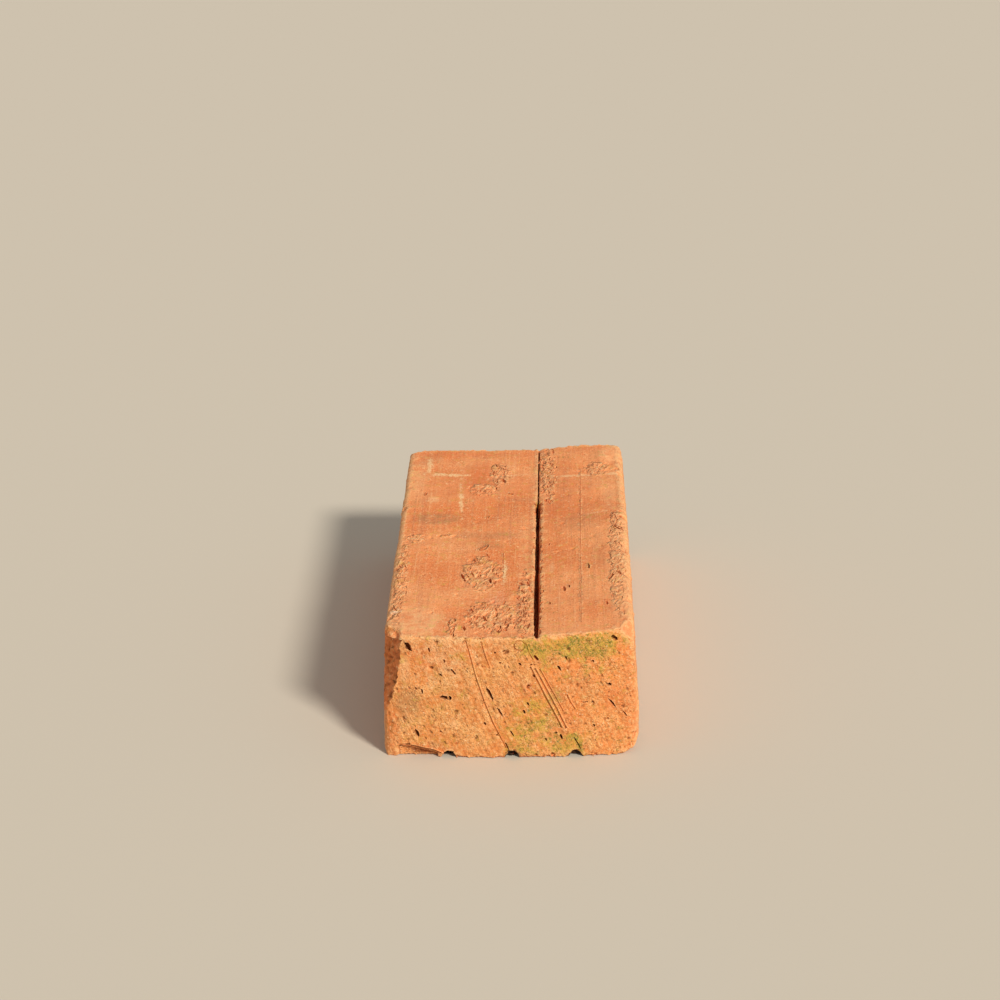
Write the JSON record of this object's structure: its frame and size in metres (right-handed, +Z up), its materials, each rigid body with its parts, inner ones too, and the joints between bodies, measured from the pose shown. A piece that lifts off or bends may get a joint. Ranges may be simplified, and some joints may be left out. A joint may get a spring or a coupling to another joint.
{
  "type": "clay brick",
  "caption": "Reclaimed red clay paving brick with a slit top bed, keying grooves in its underside and worn, chipped corners.",
  "frame": {"origin": "under the middle of the brick, on the surface that it lies on", "axes": "+Y along the brick away from the front end, +X across it towards the raised strip, +Z up out of the slit bed"},
  "size_m": [0.108, 0.228, 0.0589],
  "materials": {
    "fired_clay": "matt fired clay with a sandy, pitted surface"
  },
  "bodies": {
    "root": {"brick": "fired_clay"}
  },
  "joints": []
}
